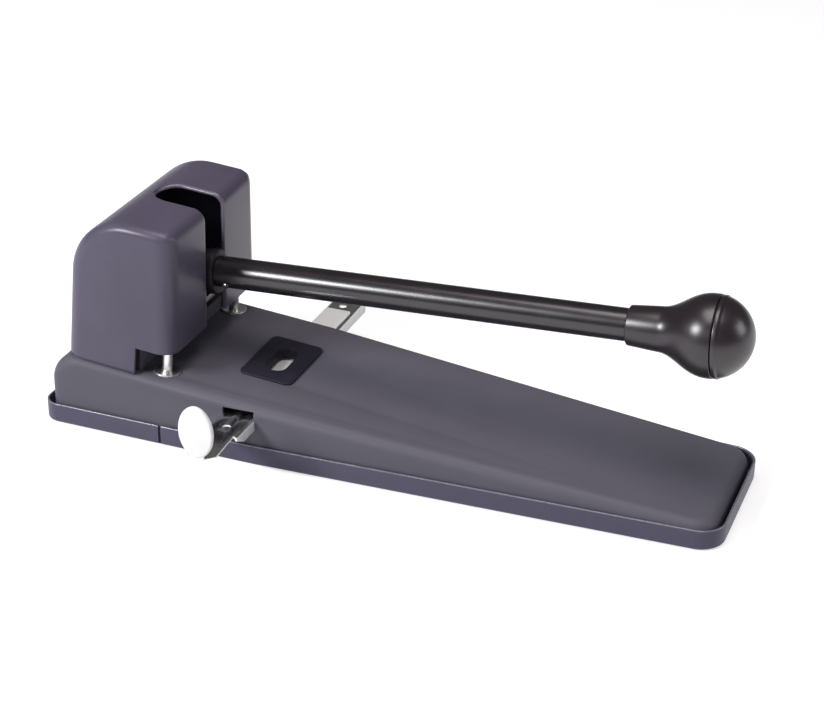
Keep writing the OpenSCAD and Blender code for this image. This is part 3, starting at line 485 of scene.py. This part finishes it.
def make_plate():
    blank = 60
    bm = plan_block(PLATE_SIDE_IN, PLATE_FRONT_IN, PLATE_BACK_IN, PLATE_FRONT_RADIUS, 0, PLATE_FOOT, blank)
    tops = [v for v in bm.verts if v.co.z > blank / 2]
    rise = math.tan(PLATE_SLOPE)
    shear = Matrix(((1, 0, 0, 0), (0, 1, 0, 0), (0, rise, 1, PLATE_HEIGHT - blank), (0, 0, 0, 1)))
    bmesh.ops.transform(bm, matrix=shear, verts=tops)
    back_top = [e for e in bm.edges if all(v.co.y > 60 and v.co.z > 30 for v in e.verts)]
    round_edges(bm, back_top, PLATE_BACK_BEND * math.tan(math.radians(45) + PLATE_SLOPE / 2), 14)
    drop_faces(bm, [f for f in bm.faces if all(v.co.z < PLATE_FOOT + 0.01 for v in f.verts)])
    folds = [e for e in bm.edges if len(e.link_faces) == 2 and e.calc_face_angle() > math.radians(40)]
    round_edges(bm, folds, PLATE_SIDE_BEND, 7)
    plate = mesh_object("plate_sheet", bm, TO_METRES)
    wall(plate, PLATE_SHEET)
    slot_half = RAIL_WIDTH / 2 + SLOT_PLAY
    slot_front = -RAIL_FORWARD - slot_half
    slot_top = PLATE_HEIGHT + slot_front * rise - SLOT_UNDER_TOP / math.cos(PLATE_SLOPE)
    rail_slot = block((-90, slot_front, RAIL_HEIGHT - FLANGE_HEIGHT - SLOT_PLAY),
                      (90, -RAIL_FORWARD + slot_half, slot_top))
    window = oblong(BEZEL_LENGTH - 2 * BEZEL_LIP, BEZEL_WIDTH - 2 * BEZEL_LIP, OPENING_RADIUS, -6, 6)
    way_half = CHIP_HALF + CHIP_CLEAR
    drawer_way = block((-way_half, 58, -2), (way_half, 80, CHIP_TOP + CHIP_CLEAR))
    die_hole = [(oblong(DIE_HOLE, DIE_HOLE, 5.0, -6, 6), HEAD @ Matrix.Translation((m * PIN_X, 0, 0)))
                for m in (-1, 1)]
    cut(plate, (rail_slot, TO_METRES), (window, HEAD @ Matrix.Translation((0, -WINDOW_FORWARD, 0))),
        (drawer_way, TO_METRES), *die_hole)
    ease_edges(plate, 0.3, rubbed=(PLATE_PAINT, PLATE_RUBBED))
    finish_piece(plate, None, "base", "plate_paint", "base_plate")


# Tray and chip drawer: one moulding line with a seam between them
RIM_HEIGHT = 11.2
RIM_WALL = 1.2
RIM_EASE = 0.56
RIM_FRONT_RADIUS = 13
RIM_BACK_RADIUS = 9.4
FOOT_RADIUS = 1.6
LAP_X = 50.4
BOSS_WIDTH = 13
POSTS = [(m * 34, -y) for m in (-1, 1) for y in (80, 272)]
# Each floor of the tray: inset, front and back corner radius, reach ahead of the seam, thickness
TRAY_FLOORS = ((1.4, 11.6, 8, 1.4, 0.2), (5.4, 9, 6, 4, 2.0))
DRAWER_LIFT = 0.3
CHIP_FORWARD = 12
CHIP_LOW = 2.2
CHIP_REAR = 62.6
CHIP_WALL = 1.6
# The two ledges that tie the chip box to the rim, each by its low and high corner
LEDGES = (((-44, 61, 2.3), (44, 69.4, 3.8)), ((-49.4, 65.4, 2.4), (49.4, 67.3, 3.9)))


def tray_shell():
    bm = plan_block(0, 0, 0, RIM_FRONT_RADIUS, RIM_BACK_RADIUS, 0, RIM_HEIGHT)
    round_edges(bm, level_loop(bm, 0), FOOT_RADIUS, 6)
    drop_faces(bm, [f for f in bm.faces if all(v.co.z > RIM_HEIGHT - 0.01 for v in f.verts)])
    return bm


def keep_side(bm, y, front):
    geometry = bm.verts[:] + bm.edges[:] + bm.faces[:]
    bmesh.ops.bisect_plane(bm, geom=geometry, plane_co=(0, y, 0), plane_no=(0, 1, 0), clear_outer=front,
                           clear_inner=not front)


def soften_rim(obj):
    two_finishes(obj, (TRAY_PLASTIC, TRAY_EDGE_WEAR_AND_HIGHLIGHT))
    bm = bmesh.new()
    bm.from_mesh(obj.data)
    top = [e for e in level_loop(bm, RIM_HEIGHT / 1000, 0.00001)
           if len(e.link_faces) == 2 and e.calc_face_angle() > math.radians(40)]
    # The rounded rim top takes the second finish, whose lighter colour is a painted highlight line along
    # with edge wear
    round_edges(bm, top, RIM_EASE / 1000, 4, material=1)
    bm.to_mesh(obj.data)
    bm.free()


def make_tray():
    bm = tray_shell()
    keep_side(bm, SEAM, True)
    tray = mesh_object("tray_moulding", bm, TO_METRES)
    wall(tray, RIM_WALL)
    soften_rim(tray)
    for inset, front_radius, back_radius, ahead, thick in TRAY_FLOORS:
        floor = plan_block(inset, inset, inset, front_radius, back_radius, 0, thick)
        keep_side(floor, SEAM - ahead, False)
        bmesh.ops.holes_fill(floor, edges=floor.edges, sides=0)
        join_into(tray, floor, TO_METRES)
    for m in (-1, 1):
        lap = block((-2, SEAM - 6, 0.1), (2, SEAM + SEAM_GAP + 0.8, 1.9))
        join_into(tray, lap, TO_METRES @ Matrix.Translation((m * LAP_X, 0, 0)))
    for x, y in POSTS:
        boss = oblong(BOSS_WIDTH, BOSS_WIDTH, 6.45, 1.0, 5.0)
        join_into(tray, boss, TO_METRES @ Matrix.Translation((x, y, 0)))
    finish_piece(tray, None, "base", "tray_plastic", "base_tray")


def make_drawer():
    bm = tray_shell()
    drop_faces(bm, [f for f in bm.faces if all(v.co.z < 0.2 for v in f.verts)])
    keep_side(bm, SEAM + SEAM_GAP, False)
    bmesh.ops.translate(bm, verts=[v for v in bm.verts if v.co.z < 0.2], vec=(0, 0, DRAWER_LIFT))
    drawer = mesh_object("chip_drawer", bm, TO_METRES)
    wall(drawer, RIM_WALL)
    soften_rim(drawer)
    box = block((-CHIP_HALF, -CHIP_FORWARD, CHIP_LOW), (CHIP_HALF, CHIP_REAR, CHIP_TOP))
    drop_faces(box, [f for f in box.faces if f.calc_center_median().z > CHIP_TOP - 1])
    round_edges(box, [e for e in box.edges if upright(e)], 2.5, 4)
    shell = mesh_object("chip_box", box, TO_METRES)
    wall(shell, CHIP_WALL)
    ease_edges(shell, 0.3)
    merge_piece(drawer, shell)
    for low, high in LEDGES:
        join_into(drawer, block(low, high), TO_METRES)
    finish_piece(drawer, None, "chips", "tray_plastic", "chip_tray")


# Head cover: a moulded hood with soft edges and a slot for the lever
COVER_HALF = 52.6
COVER_DRAFT = math.tan(math.radians(1.9))
COVER_LEAN = math.tan(math.radians(3.7))
COVER_TOP = 82.6
COVER_BACK = 54.2
THROAT = 15.8
COVER_FRONT = -8.5 - THROAT * COVER_LEAN
COVER_WALL = 1.8
COVER_BACK_BEND = 34.0
COVER_CORNER = 9.5
TOP_FRONT_SHARE = 0.7
TOP_SIDE_SHARE = 0.5
COVER_LOW = -1.0
COVER_FOOT = 2.0
COVER_FOOT_HEIGHT = 2.8
SLOT_WIDTH = 21.0
SLOT_END = 29.0
SLOT_ROLL = 1.5
STOP_Y = 12.0


def lift_from_head(cover):
    bm = bmesh.new()
    bm.from_mesh(cover.data)
    bmesh.ops.transform(bm, matrix=HEAD.inverted(), verts=bm.verts)
    return bm


def set_on_head(bm, cover):
    bmesh.ops.transform(bm, matrix=HEAD, verts=bm.verts)
    bm.to_mesh(cover.data)
    bm.free()


def turn_in_foot(cover):
    bm = lift_from_head(cover)
    turn = COVER_LOW + COVER_FOOT_HEIGHT
    for height in (turn, turn - 0.5):
        score(bm, (0, 0, height), (0, 0, 1))
    middle = (COVER_FRONT + COVER_BACK) / 2
    deep = (COVER_BACK - COVER_FRONT) / 2
    for v in bm.verts:
        if v.co.z < turn - 0.1:
            drop = min(1.0, (turn - v.co.z) / COVER_FOOT_HEIGHT)
            inward = COVER_FOOT * drop
            v.co.x *= 1 - inward / COVER_HALF
            v.co.y = middle + (v.co.y - middle) * (1 - inward / deep)
    set_on_head(bm, cover)


def off_slot_outline(point):
    half = SLOT_WIDTH / 2
    past = max(0.0, point.y - (SLOT_END - half))
    return abs(math.hypot(point.x, past) - half)


def roll_slot_edge(cover):
    bm = lift_from_head(cover)
    # Lines scored beside the slot keep the soft shading of its edge close to it
    reach = SLOT_ROLL + 1.5
    beside = SLOT_WIDTH / 2 + reach
    score(bm, (-beside, 0, 0), (1, 0, 0))
    score(bm, (beside, 0, 0), (1, 0, 0))
    score(bm, (0, SLOT_END + reach, 0), (0, 1, 0))
    bm.normal_update()
    rim = []
    for e in bm.edges:
        if len(e.link_faces) != 2 or e.calc_face_angle() < math.radians(38):
            continue
        if any(off_slot_outline(v.co) >= 0.06 for v in e.verts):
            continue
        skin = max(e.link_faces, key=lambda f: off_slot_outline(f.calc_center_median()))
        if skin.normal.z > 0.3 or skin.normal.y < -0.3:
            rim.append(e)
    # The rolled slot edge takes the second finish, whose lighter colour is a painted highlight along with
    # edge wear
    round_edges(bm, rim, SLOT_ROLL, 5, material=1)
    set_on_head(bm, cover)


def make_cover():
    bm = block((-COVER_HALF, COVER_FRONT, COVER_LOW), (COVER_HALF, COVER_BACK, COVER_TOP))
    for v in bm.verts:
        if v.co.z > 1:
            v.co.x -= math.copysign(COVER_TOP * COVER_DRAFT, v.co.x)
            if v.co.y < 0:
                v.co.y += COVER_TOP * COVER_LEAN
    back_top = [e for e in bm.edges if all(v.co.z > 80 and v.co.y > 50 for v in e.verts)]
    round_edges(bm, back_top, COVER_BACK_BEND, 16)
    weight = bm.edges.layers.float.new("bevel_weight_edge")
    for e in bm.edges:
        a = e.verts[0].co
        b = e.verts[1].co
        across = abs(a.x - b.x) > 50
        if max(a.z, b.z) < 1:
            continue
        if across and min(a.z, b.z) > 80 and max(a.y, b.y) < 5:
            e[weight] = TOP_FRONT_SHARE
        elif not across and upright(e) and min(a.z, b.z) < 1:
            e[weight] = 1.0
        elif not across:
            middle = (a + b) / 2
            low = max(0.0, min(1.0, (COVER_TOP - middle.z) / COVER_BACK_BEND))
            e[weight] = TOP_SIDE_SHARE + (1 - TOP_SIDE_SHARE) * low
    drop_faces(bm, [f for f in bm.faces if all(v.co.z < 0.01 for v in f.verts)])
    cover = mesh_object("cover_hood", bm, HEAD)
    two_finishes(cover, (COVER_PLASTIC, COVER_EDGE_WEAR_AND_HIGHLIGHT))
    corners = cover.modifiers.new("corners", "BEVEL")
    corners.width = COVER_CORNER / 1000
    corners.segments = 8
    corners.limit_method = "WEIGHT"
    corners.use_clamp_overlap = False
    settle(cover)
    wall(cover, COVER_WALL)
    throat = block((-90, -60, -20), (90, STOP_Y + 1, THROAT))
    slot = block((-SLOT_WIDTH / 2, -60, -30), (SLOT_WIDTH / 2, SLOT_END, 150))
    slot_back = [e for e in slot.edges if upright(e) and e.verts[0].co.y > 0]
    round_edges(slot, slot_back, SLOT_WIDTH / 2 - 0.02, 14)
    cut(cover, (throat, HEAD), (slot, HEAD))
    turn_in_foot(cover)
    roll_slot_edge(cover)
    ease_edges(cover, 0.3, 2, 50)
    finish_piece(cover, None, "base", "cover_plastic", "head_cover")


# Lever: cast root, tube and knob
TUBE_RADIUS = 8.35
TUBE_WALL = 1.5
TUBE_LENGTH = 243.0
BALL_RADIUS = 21.0
BALL_AT = 266.0
BELL_END = BALL_RADIUS * 0.45
NECK_RADIUS = 11.4
NECK_LONG = 26
COLLAR_RADIUS = 10.2
COLLAR_LONG = 41.5
KNOB_BORE = 8.42
KNOB_SEAM = 3.3
ROOT_WIDTH = 19.6
ROOT_HEIGHT = 25
ROOT_DEPTH = 4.6
WEB_HALF = 4
AXLE = (18.45, 43.906)
DRIVE = (4.356, 34.4)
# Bore radius, outer radius and half width of the rings of the root round the axle and the drive pin
AXLE_RING = (4.05, 8.2, 10.6)
DRIVE_RING = (2.52, 4.9, 4.0)


def ring_across(y, z, inner, outer, half):
    profile = [(inner, -half), (outer - 0.6, -half), (outer, 0.6 - half), (outer, half - 0.6),
               (outer - 0.6, half), (inner, half)]
    lie = Matrix.Translation((0, y, z)) @ Matrix.Rotation(math.radians(90), 4, "Y")
    return turned(profile, 48), HEAD @ lie


def make_root():
    face = oblong(ROOT_WIDTH, ROOT_HEIGHT, 9.79, -ROOT_DEPTH, 0, 14)
    bmesh.ops.translate(face, verts=face.verts, vec=(0, -0.5, 0))
    round_edges(face, level_loop(face, 0), 1.1, 4)
    root = mesh_object("lever_root", face, LEVER)
    web = bmesh.new()
    outline = [(AXLE[0], AXLE[1] + 7.9), (-5.2, AXLE[1] + 10), (-5.2, AXLE[1] - 10),
               (DRIVE[0], DRIVE[1] - 4.8), (AXLE[0], AXLE[1] - 7.9)]
    side = web.faces.new([web.verts.new((-WEB_HALF, y, z)) for y, z in outline])
    spread = bmesh.ops.extrude_face_region(web, geom=[side])["geom"]
    bmesh.ops.translate(web, verts=only_verts(spread), vec=(2 * WEB_HALF, 0, 0))
    round_edges(web, [e for e in web.edges if abs(e.verts[0].co.x - e.verts[1].co.x) < 1], 0.8, 3)
    join_into(root, web, HEAD)
    join_into(root, *ring_across(*AXLE, *AXLE_RING))
    join_into(root, *ring_across(*DRIVE, *DRIVE_RING))
    finish_piece(root, ROOT_ENAMEL, "lever", "black_paint", "lever_arm")


def make_tube():
    inner = TUBE_RADIUS - TUBE_WALL
    profile = [(inner, 0.3), (inner + 0.3, 0), (TUBE_RADIUS - 0.4, 0), (TUBE_RADIUS, 0.4),
               (TUBE_RADIUS, TUBE_LENGTH - 0.4), (TUBE_RADIUS - 0.4, TUBE_LENGTH), (inner, TUBE_LENGTH)]
    tube = mesh_object("lever_pipe", turned(profile), LEVER)
    finish_piece(tube, BLACK_ENAMEL, "lever", "black_paint", "lever_tube")


def flare(t):
    along = -NECK_LONG + t * (NECK_LONG - BELL_END)
    ball = math.sqrt(BALL_RADIUS ** 2 - BELL_END ** 2)
    return (NECK_RADIUS + (ball - NECK_RADIUS) * math.sin(math.pi / 2 * t) * t, along)


def make_knob():
    place = LEVER @ Matrix.Translation((0, 0, BALL_AT))
    collar = [(KNOB_BORE, 0.3 - COLLAR_LONG), (8.7, -COLLAR_LONG)]
    collar += arc(COLLAR_RADIUS - 0.8, 0.8 - COLLAR_LONG, 0.8, -90, 0, 4)
    bell = [flare(i / 16) for i in range(17)]
    rear = KNOB_SEAM - 0.2
    ball = []
    for i in range(1, 9):
        z = -BELL_END + (rear - 0.9 + BELL_END) * i / 8
        ball.append((math.sqrt(BALL_RADIUS ** 2 - z * z), z))
    edge = ball[-1][0]
    lip = arc(edge - 0.5, rear - 0.5, 0.5, 0, 90, 4)
    rim = [(edge - 1.1, rear), (8.2, rear), (8.2, -19), (KNOB_BORE, -19)]
    body = mesh_object("knob_bell", turned(collar + bell + ball[:-1] + lip + rim, 96), place)
    finish_piece(body, KNOB_PLASTIC, "lever", "knob_plastic", "knob_body")
    front = KNOB_SEAM + 0.2
    band = math.sqrt(BALL_RADIUS ** 2 - (front + 1.1) ** 2) + 0.22
    start = math.degrees(math.asin((front + 2.6) / BALL_RADIUS))
    dome = [(edge - 1.2, front - 0.3), (edge - 1.1, front)]
    dome += arc(band - 0.5, front + 0.5, 0.5, -90, 0, 4) + arc(band - 0.5, front + 1.7, 0.5, 0, 50, 3)
    dome += arc(0, 0, BALL_RADIUS, start, 90, 28)
    dome += [(0, KNOB_SEAM - 8), (8, KNOB_SEAM - 8), (8, front - 0.3)]
    cap = mesh_object("knob_dome", turned(dome, 96), place)
    finish_piece(cap, CAP_PLASTIC, "lever", "knob_plastic", "knob_cap")


# Dies in the plate
def make_dies():
    for m, node in ((-1, "die_left"), (1, "die_right")):
        profile = [(2.8, -5.0), (2.8, 0.1), (3.0, 0.3), (4.9, 0.3), (6.3, 0.84), (6.42, 0.9), (6.8, 0.9)]
        profile += arc(6.75, 0.55, 0.35, 90, 0, 4)
        profile += [(7.1, 0), (5.0, 0), (5.0, -7.5), (3.35, -7.5), (3.35, -5.0)]
        die = mesh_object(node + "_ring", turned(profile), HEAD @ Matrix.Translation((m * PIN_X, 0, 0)))
        finish_piece(die, DIE_STEEL, "base", "bright_steel", node)


# Paper guide: bent rail and its paddle
RAIL_SHEET = 1.2
STRIP_HALF = 7.5
STRIP_THICK = 1.8
RAIL_NEAR = -99.5
RAIL_FAR = 97.0
TAB_HEIGHT = 12
TAPER_LONG = 8
TAPER_END = 34.5
NEAR_HOLE = 34
FAR_HOLE = 11
RAIL_HOLE = 4.4
STRIP_ENDS = (-34, 80)
PADDLE_WIDE = 9.5
PADDLE_TALL = 14.25
PADDLE_THICK = 3
RAIL_PLACE = TO_METRES @ Matrix.Translation((0, -RAIL_FORWARD, RAIL_HEIGHT))


def make_rail():
    bm = bmesh.new()
    half = RAIL_WIDTH / 2
    taper_end = RAIL_NEAR + TAPER_END
    taper_start = taper_end - TAPER_LONG
    near_row = [(RAIL_NEAR, -4), (RAIL_NEAR + 5, -half), (taper_start, -half), (taper_end, -half),
                (RAIL_FAR, -half)]
    outline = near_row + [(x, -y) for x, y in reversed(near_row)]
    web = bm.faces.new([bm.verts.new((x, y, 0)) for x, y in outline])
    sides = [e for e in web.edges if abs(e.verts[0].co.y - e.verts[1].co.y) < 0.1
             and min(v.co.x for v in e.verts) > taper_start - 1]
    fold = bmesh.ops.extrude_edge_only(bm, edges=sides)["geom"]
    for v in only_verts(fold):
        v.co.z = -RAIL_SHEET - 0.2 if v.co.x < taper_start + 1 else -FLANGE_HEIGHT
    end = [e for e in web.edges if all(abs(v.co.x - RAIL_NEAR) < 0.1 for v in e.verts)]
    tab = bmesh.ops.extrude_edge_only(bm, edges=end)["geom"]
    bmesh.ops.translate(bm, verts=only_verts(tab), vec=(0, 0, TAB_HEIGHT))
    bends = [e for e in web.edges if len(e.link_faces) == 2 and e not in end]
    round_edges(bm, bends, 1.0, 3)
    rail = mesh_object("guide_channel", bm, RAIL_PLACE)
    wall(rail, RAIL_SHEET)
    for x in (RAIL_NEAR + NEAR_HOLE, RAIL_FAR - FAR_HOLE):
        hole = oblong(RAIL_HOLE, RAIL_HOLE, 2.19, -5, 5)
        cut(rail, (hole, RAIL_PLACE @ Matrix.Translation((x, 0, 0))))
    ease_edges(rail, 0.2)
    two_finishes(rail, (RAIL_STEEL, RAIL_FLANGE_PAINTED_REFLECTION))
    # Faces pointing front and back get the lighter finish, a painted reflection on the flanges
    for face in rail.data.polygons:
        face.material_index = 1 if abs(face.normal.y) > 0.8 else 0
    finish_piece(rail, None, "rail", "bright_steel", "guide_rail")


def make_strip():
    strip = block((STRIP_ENDS[0], -STRIP_HALF, 0), (STRIP_ENDS[1], STRIP_HALF, STRIP_THICK))
    round_edges(strip, [e for e in strip.edges if upright(e)], 1.5, 5)
    round_edges(strip, level_loop(strip, STRIP_THICK), 0.3, 3)
    film = mesh_object("scale_tape", strip, RAIL_PLACE)
    finish_piece(film, SCALE_FILM, "rail", "scale_film", "scale_strip")


def make_paddle():
    bm = bmesh.new()
    bmesh.ops.create_circle(bm, cap_ends=True, radius=1, segments=72)
    bmesh.ops.scale(bm, verts=bm.verts, vec=(PADDLE_WIDE, PADDLE_TALL, 1))
    lifted = bmesh.ops.extrude_face_region(bm, geom=bm.faces[:])["geom"]
    bmesh.ops.translate(bm, verts=only_verts(lifted), vec=(0, 0, PADDLE_THICK))
    bmesh.ops.translate(bm, verts=bm.verts, vec=(0, 0, -PADDLE_THICK / 2))
    round_edges(bm, [e for e in bm.edges if not upright(e)], 1.1, 5)
    stand = Matrix(((0, 0, 1, 0), (1, 0, 0, 0), (0, 1, 0, 0), (0, 0, 0, 1)))
    place = RAIL_PLACE @ Matrix.Translation((RAIL_NEAR + 0.6, 0, 1.4 + PADDLE_TALL))
    place = place @ Matrix.Rotation(math.radians(-1.4), 4, "X") @ stand
    paddle = mesh_object("paddle_oval", bm, place)
    finish_piece(paddle, WHITE_PLASTIC, "rail", "white_plastic", "rail_paddle")


# Window surround
VIEW_LENGTH = 24.0
VIEW_WIDTH = 10.0
VIEW_FLARE = 0.8


def make_bezel():
    low = -(RAIL_DROP - STRIP_HALF * math.tan(PLATE_SLOPE) - STRIP_THICK - 0.5) * math.cos(PLATE_SLOPE)
    place = HEAD @ Matrix.Translation((0, -WINDOW_FORWARD, 0))
    bm = oblong(BEZEL_LENGTH, BEZEL_WIDTH, 4, 0, 1.1, 8)
    top = max(bm.faces, key=lambda f: f.calc_center_median().z)
    round_edges(bm, top.edges, 0.5, 3)
    bezel = mesh_object("window_surround", bm, place)
    length = BEZEL_LENGTH - 2 * BEZEL_LIP - 0.04
    width = BEZEL_WIDTH - 2 * BEZEL_LIP - 0.04
    body = oblong(length, width, OPENING_RADIUS, low, 0.5)
    join = bezel.modifiers.new("body", "BOOLEAN")
    join.operation = "UNION"
    join.solver = "EXACT"
    tool = mesh_object("bezel_body", body, place)
    join.object = tool
    settle(bezel)
    bpy.data.objects.remove(tool)
    view = oblong(VIEW_LENGTH, VIEW_WIDTH, VIEW_WIDTH / 2 - 0.01, low - 0.5, 1.6, 10)
    straight = (VIEW_LENGTH - VIEW_WIDTH) / 2
    spread = 1 + VIEW_FLARE / (VIEW_WIDTH / 2)
    for v in view.verts:
        if v.co.z > 0:
            centre = max(-straight, min(straight, v.co.x))
            v.co.x = centre + (v.co.x - centre) * spread
            v.co.y *= spread
    cut(bezel, (view, place))
    ease_edges(bezel, 0.3)
    finish_piece(bezel, BEZEL_PLASTIC, "base", "bezel_plastic", "window_bezel")


make_plate()
make_tray()
make_drawer()
make_cover()
make_root()
make_tube()
make_knob()
make_dies()
make_rail()
make_strip()
make_paddle()
make_bezel()
